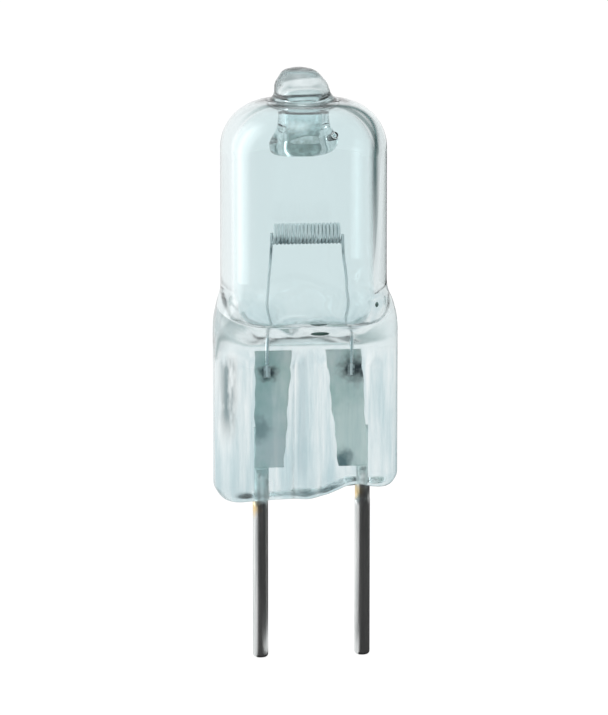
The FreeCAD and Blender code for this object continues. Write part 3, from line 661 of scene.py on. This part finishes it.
filament = {
    "wireRadius": 0.09, "coilRadius": 0.57, "turns": 18.5, "pitch": 0.23, "middle": (-0.28, 0.0, 16.65),
    "coilSteps": 28, "legSteps": 8, "sectionSteps": 10,
    # points that the legs pass, from the coil's ends to the welds
    "leftLeg": [(-2.41, 0.57, 16.65), (-2.42, 0.57, 15.4), (-2.62, 0.3, 13.9), (-2.70, -0.1, 12.8),
                (-2.86, -0.37, 11.9), (-2.845, -0.425, 10.9), (-2.845, -0.425, 9.4), (-2.845, -0.425, 7.9)],
    "rightLeg": [(1.85, -0.57, 16.65), (1.86, -0.57, 15.4), (2.10, -0.5, 14.1), (2.12, -0.42, 12.9),
                 (2.36, -0.425, 11.9), (2.355, -0.425, 10.9), (2.355, -0.425, 9.4), (2.355, -0.425, 7.9)],
    "foot": (0.42, 0.12, 0.9), "feet": [(-2.845, -0.395, 8.275), (2.355, -0.395, 8.275)],
    "legShare": 0.72, "metallic": 0.1, "bump": 0.2, "bumpDepth": 0.005,
    # painted shade: dark along the underside of the coil, in all three spots
    "wear": {"Bright": (0.95, 1.0, 1.0, 1), "Dull": (0.80, 0.90, 0.92, 1),
             "Stain": (0.10, 0.17, 0.19, 1), "Stain Place": (-0.00178, 0, 0.0157), "Stain Size": 0.0016,
             "Patch": (0.10, 0.17, 0.19, 1), "Patch Place": (-0.00028, 0, 0.0157), "Patch Size": 0.0016,
             "Scorch": (0.10, 0.17, 0.19, 1), "Scorch Place": (0.00122, 0, 0.0157), "Scorch Size": 0.0016,
             "Streak Scale": 3000.0, "Streak Length": 4.0,
             "Roughness Low": 0.3, "Roughness High": 0.5},
}
tungstenWire = metalMaterial("tungstenWire", filament)
# the feet are mottled by the weld
weldedFoot = metalMaterial("weldedFoot", dict(filament, wear={
    "Bright": (0.80, 0.88, 0.88, 1), "Dull": (0.06, 0.09, 0.10, 1),
    "Streak Scale": 2600.0, "Streak Length": 1.5, "Roughness Low": 0.3, "Roughness High": 0.5}))


def filamentTree(look):
    tree = bpy.data.node_groups.new("filamentWire", "GeometryNodeTree")
    named = {"Geometry": ("Geometry",), "Float": ("Wire Radius", "Coil Radius", "Coil Length", "Turns"),
             "Vector": ("Coil Start", "Foot Size", "Left Foot", "Right Foot"),
             "Material": ("Wire Material", "Foot Material")}
    for kind, names in named.items():
        for name in names:
            tree.interface.new_socket(name, in_out="INPUT", socket_type="NodeSocket" + kind)
    tree.interface.new_socket("Geometry", in_out="OUTPUT", socket_type="NodeSocketGeometry")
    given = addNode(tree, "NodeGroupInput").outputs
    spiral = addNode(tree, "GeometryNodeCurveSpiral", {
        "Resolution": look["coilSteps"], "Rotations": given["Turns"], "Height": given["Coil Length"],
        "Start Radius": given["Coil Radius"], "End Radius": given["Coil Radius"]})
    laid = addNode(tree, "GeometryNodeTransform", {
        "Geometry": spiral.outputs["Curve"], "Translation": given["Coil Start"],
        "Rotation": (math.pi / 2, 0, math.pi / 2)})
    joined = addNode(tree, "GeometryNodeJoinGeometry", {0: laid.outputs[0]})
    feed(tree, joined.inputs[0], given["Geometry"])
    section = addNode(tree, "GeometryNodeCurvePrimitiveCircle", {
        "Resolution": look["sectionSteps"], "Radius": given["Wire Radius"]})
    wire = addNode(tree, "GeometryNodeCurveToMesh", {
        "Curve": joined.outputs[0], "Profile Curve": section.outputs["Curve"], "Fill Caps": True})
    smooth = addNode(tree, "GeometryNodeSetShadeSmooth", {0: wire.outputs[0]})
    block = addNode(tree, "GeometryNodeMeshCube", {"Size": given["Foot Size"]})
    foot = addNode(tree, "GeometryNodeSetMaterial", {
        "Geometry": block.outputs["Mesh"], "Material": given["Foot Material"]})
    whole = addNode(tree, "GeometryNodeJoinGeometry", {0: smooth.outputs[0]})
    for side in ("Left Foot", "Right Foot"):
        welded = addNode(tree, "GeometryNodeTransform", {
            "Geometry": foot.outputs[0], "Translation": given[side]})
        feed(tree, whole.inputs[0], welded.outputs[0])
    real = addNode(tree, "GeometryNodeRealizeInstances", {0: whole.outputs[0]})
    feet = addNode(tree, "GeometryNodeMaterialSelection", {"Material": given["Foot Material"]})
    rest = addNode(tree, "FunctionNodeBooleanMath", {0: feet.outputs[0]}, operation="NOT")
    dressed = addNode(tree, "GeometryNodeSetMaterial", {
        "Geometry": real.outputs[0], "Selection": rest.outputs[0], "Material": given["Wire Material"]})
    addNode(tree, "NodeGroupOutput", {0: dressed.outputs[0]})
    return tree


def makeFilament(look):
    curve = bpy.data.curves.new("filamentLegs", "CURVE")
    curve.dimensions = "3D"
    curve.resolution_u = look["legSteps"]
    for leg in ("leftLeg", "rightLeg"):
        spline = curve.splines.new("NURBS")
        spline.points.add(len(look[leg]) - 1)
        for point, place in zip(spline.points, look[leg]):
            point.co = (*(v * mm for v in place), 1)
            point.radius = look["legShare"]
        spline.order_u = 3
        spline.use_endpoint_u = True
    legs = bpy.data.objects.new("filamentLegs", curve)
    scene.collection.objects.link(legs)
    tree = filamentTree(look)
    length = look["turns"] * look["pitch"]
    start = Vector(look["middle"]) - Vector((length / 2, 0, 0))
    modifier = legs.modifiers.new("wire", "NODES")
    modifier.node_group = tree
    values = {"Wire Radius": look["wireRadius"] * mm, "Coil Radius": look["coilRadius"] * mm,
              "Coil Length": length * mm, "Turns": look["turns"], "Coil Start": start * mm,
              "Foot Size": Vector(look["foot"]) * mm, "Left Foot": Vector(look["feet"][0]) * mm,
              "Right Foot": Vector(look["feet"][1]) * mm,
              "Wire Material": tungstenWire, "Foot Material": weldedFoot}
    for item in tree.interface.items_tree:
        if item.in_out == "INPUT" and item.name in values:
            modifier[item.identifier] = values[item.name]
    evaluated = legs.evaluated_get(bpy.context.evaluated_depsgraph_get())
    mesh = bpy.data.meshes.new_from_object(evaluated)
    mesh.name = "filamentWire"
    bpy.data.objects.remove(legs)
    atFoot = [mesh.materials[face.material_index] == weldedFoot for face in mesh.polygons]
    mesh.materials.clear()
    for material in (tungstenWire, weldedFoot):
        mesh.materials.append(material)
    mesh.polygons.foreach_set("material_index", np.array(atFoot, np.int32))
    piece = bpy.data.objects.new("filamentWire", mesh)
    scene.collection.objects.link(piece)
    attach(piece, "root")
    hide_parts("filament")
    print("filamentWire", len(mesh.polygons), "faces,", sum(atFoot), "on the feet")


makeFilament(filament)


# Table, world and lamps

stage = {"left": -0.12, "right": 0.135, "front": -0.2, "back": 0.5, "z": -9.9, "glow": 0.92, "diffuse": 0.14,
         "dimmed": 0.4, "frontDark": (-0.8, -0.5), "rightDark": (-0.2, 0.2),
         "pinX": (-3.175, 3.175), "parting": -1.6}


def tableMaterial(look):
    material, tree = newMaterial("whiteTable")[:2]
    tree.nodes.clear()
    rays = addNode(tree, "ShaderNodeLightPath").outputs
    place = addNode(tree, "ShaderNodeTexCoord").outputs["Object"]
    dimmed = look["diffuse"] * look["dimmed"]
    shade = ranged(tree, rays["Is Glossy Ray"], 0.0, 1.0, look["diffuse"], dimmed, "LINEAR")
    # reflections see the white table behind the pins and to their left only
    beside = calc(tree, "GREATER_THAN", axes(tree, place)["X"], look["parting"] * mm)
    pin = ranged(tree, beside, 0.0, 1.0, *(x * mm for x in look["pinX"]), "LINEAR")
    foot = addNode(tree, "ShaderNodeCombineXYZ", {"X": pin, "Z": look["z"] * mm}).outputs[0]
    aim = axes(tree, vectorCalc(tree, "NORMALIZE", vectorCalc(tree, "SUBTRACT", place, foot)))
    shown = rays["Is Glossy Ray"]
    for axis, ends, levels in (("Y", look["frontDark"], (0, 1)), ("X", look["rightDark"], (1, 0))):
        shown = calc(tree, "MULTIPLY", shown, ranged(tree, aim[axis], *ends, *levels))
    seen = calc(tree, "MAXIMUM", rays["Is Camera Ray"], rays["Is Transmission Ray"])
    level = calc(tree, "MULTIPLY", calc(tree, "MAXIMUM", seen, shown), look["glow"])
    matt = addNode(tree, "ShaderNodeBsdfDiffuse", {"Color": shade})
    glow = addNode(tree, "ShaderNodeEmission", {"Strength": level})
    both = addNode(tree, "ShaderNodeAddShader", {0: matt.outputs[0], 1: glow.outputs[0]})
    addNode(tree, "ShaderNodeOutputMaterial", {"Surface": both.outputs[0]})
    return material


def makeTable(look):
    bm = bmesh.new()
    corners = (("left", "front"), ("right", "front"), ("right", "back"), ("left", "back"))
    bm.faces.new([bm.verts.new((look[x], look[y], look["z"] * mm)) for x, y in corners])
    mesh = bpy.data.meshes.new("whiteTable")
    bm.to_mesh(mesh)
    bm.free()
    mesh.materials.append(tableMaterial(look))
    table = bpy.data.objects.new("whiteTable", mesh)
    scene.collection.objects.link(table)


makeTable(stage)


# What a ray that leaves the bulb meets. Through the glass it is a white tent, dimmer on the right and in an
# edge behind, over the bulb and to its right; in reflections the front is dark, where the camera stands.
studio = {
    "fill": 0.75,
    "glass": {"front": 1.0, "top": 1.0, "right": 0.8, "edge": 0.45},
    "reflection": {"front": 0.06, "top": 0.6, "right": 0.4, "edge": 0.5},
    "frontRange": (-0.35, 0.1), "topRange": (0.45, 0.8), "rightRange": (0.35, 0.62),
    # cosines of the angle from straight behind at which the edge begins and ends, and the side that it is on
    "behind": (0.120, 0.9775, -0.1736), "edgeStart": (0.77, 0.83), "edgeEnd": (0.66, 0.71),
    "edgeSide": (0.4387, 0.1046, 0.8925), "edgeSideRange": (0.1, 0.5), "edgeColour": (0.82, 1.0, 0.99, 1),
}


def makeWorld(look):
    world = bpy.data.worlds.new("whiteStudio")
    scene.world = world
    world.use_nodes = True
    tree = world.node_tree
    tree.nodes.clear()
    rays = addNode(tree, "ShaderNodeLightPath").outputs
    place = addNode(tree, "ShaderNodeTexCoord").outputs["Generated"]
    at = axes(tree, place)
    behind = vectorCalc(tree, "DOT_PRODUCT", place, look["behind"])
    side = vectorCalc(tree, "DOT_PRODUCT", place, look["edgeSide"])
    edge = calc(tree, "MULTIPLY", ranged(tree, behind, *look["edgeStart"], 1.0, 0.0),
                ranged(tree, behind, *look["edgeEnd"], 0.0, 1.0))
    edge = calc(tree, "MULTIPLY", edge, ranged(tree, side, *look["edgeSideRange"], 0.0, 1.0))

    def tent(levels):
        level = ranged(tree, at["Y"], *look["frontRange"], levels["front"], 1.0)
        for axis, name in (("Z", "top"), ("X", "right")):
            share = ranged(tree, at[axis], *look[name + "Range"], 1.0, levels[name])
            level = calc(tree, "MULTIPLY", level, share)
        dimmed = calc(tree, "MULTIPLY", edge, 1.0 - levels["edge"])
        return calc(tree, "MULTIPLY", level, calc(tree, "SUBTRACT", 1.0, dimmed))

    def choose(flag, yes, no):
        other = calc(tree, "MULTIPLY", calc(tree, "SUBTRACT", 1.0, flag), no)
        return calc(tree, "ADD", calc(tree, "MULTIPLY", flag, yes), other)

    level = choose(rays["Is Glossy Ray"], tent(look["reflection"]), look["fill"])
    level = choose(rays["Is Transmission Ray"], tent(look["glass"]), level)
    level = choose(rays["Is Camera Ray"], 1.0, level)
    mask = calc(tree, "MULTIPLY", edge, rays["Is Transmission Ray"])
    hue = blend(tree, mask, (1, 1, 1, 1), look["edgeColour"])
    background = addNode(tree, "ShaderNodeBackground", {"Color": hue, "Strength": level})
    addNode(tree, "ShaderNodeOutputWorld", {"Surface": background.outputs[0]})


makeWorld(studio)


# Lamps: angles, then distance and size in metres; each box is brightest in its middle and falls off outward
lamps = {
    "aim": (0.0, 0.0, 14.0), "fall": (0.15, 0.5),
    "boxes": {"leftSoftbox": {"turn": -111, "rise": 14, "away": 0.26, "size": (0.17, 0.46), "glow": 2.7},
              "topSoftbox": {"turn": -30, "rise": 72, "away": 0.3, "size": (0.2, 0.2), "glow": 2.8}},
}


def outward(turn, rise):
    # the direction from the bulb to a place round it and above it, in degrees
    turn, rise = math.radians(turn), math.radians(rise)
    return Vector((math.sin(turn) * math.cos(rise), -math.cos(turn) * math.cos(rise), math.sin(rise)))


def softenEdges(light, fall):
    light.use_nodes = True
    tree = light.node_tree
    at = axes(tree, addNode(tree, "ShaderNodeNewGeometry").outputs["Parametric"])
    shares = []
    for axis in ("X", "Y"):
        away = calc(tree, "ABSOLUTE", calc(tree, "SUBTRACT", at[axis], 0.5))
        shares.append(ranged(tree, away, *fall, 1.0, 0.0))
    feed(tree, tree.nodes["Emission"].inputs["Strength"], calc(tree, "MULTIPLY", *shares))


def makeLamps(sets):
    for name, look in sets["boxes"].items():
        light = bpy.data.lights.new(name, "AREA")
        softenEdges(light, sets["fall"])
        light.shape = "RECTANGLE"
        light.size, light.size_y = look["size"]
        light.energy = look["glow"] * math.pi * look["size"][0] * look["size"][1]
        lamp = bpy.data.objects.new(name, light)
        aim = Vector(sets["aim"]) * mm
        lamp.location = aim + outward(look["turn"], look["rise"]) * look["away"]
        lamp.rotation_mode = "QUATERNION"
        lamp.rotation_quaternion = (aim - lamp.location).to_track_quat("-Z", "Y")
        lamp.visible_camera = False
        scene.collection.objects.link(lamp)


makeLamps(lamps)


# Camera: a long lens, a little from the left and above

camera = {"turn": -7.0, "rise": 10.0, "away": 306.0, "target": (-0.46, 0.0, 8.9), "high": 44.0,
          "sensor": 36.0, "clip": (0.01, 10.0)}


def makeCamera(look):
    data = bpy.data.cameras.new("camera")
    data.sensor_width = look["sensor"]
    data.lens = data.sensor_width * look["away"] / look["high"]
    data.clip_start, data.clip_end = look["clip"]
    lens = bpy.data.objects.new("camera", data)
    back = outward(look["turn"], look["rise"])
    lens.location = (Vector(look["target"]) + back * look["away"]) * mm
    lens.rotation_mode = "QUATERNION"
    lens.rotation_quaternion = (-back).to_track_quat("-Z", "Y")
    scene.collection.objects.link(lens)
    scene.camera = lens


makeCamera(camera)
scene.view_settings.view_transform = "Standard"
print("stage, lamps and camera set")
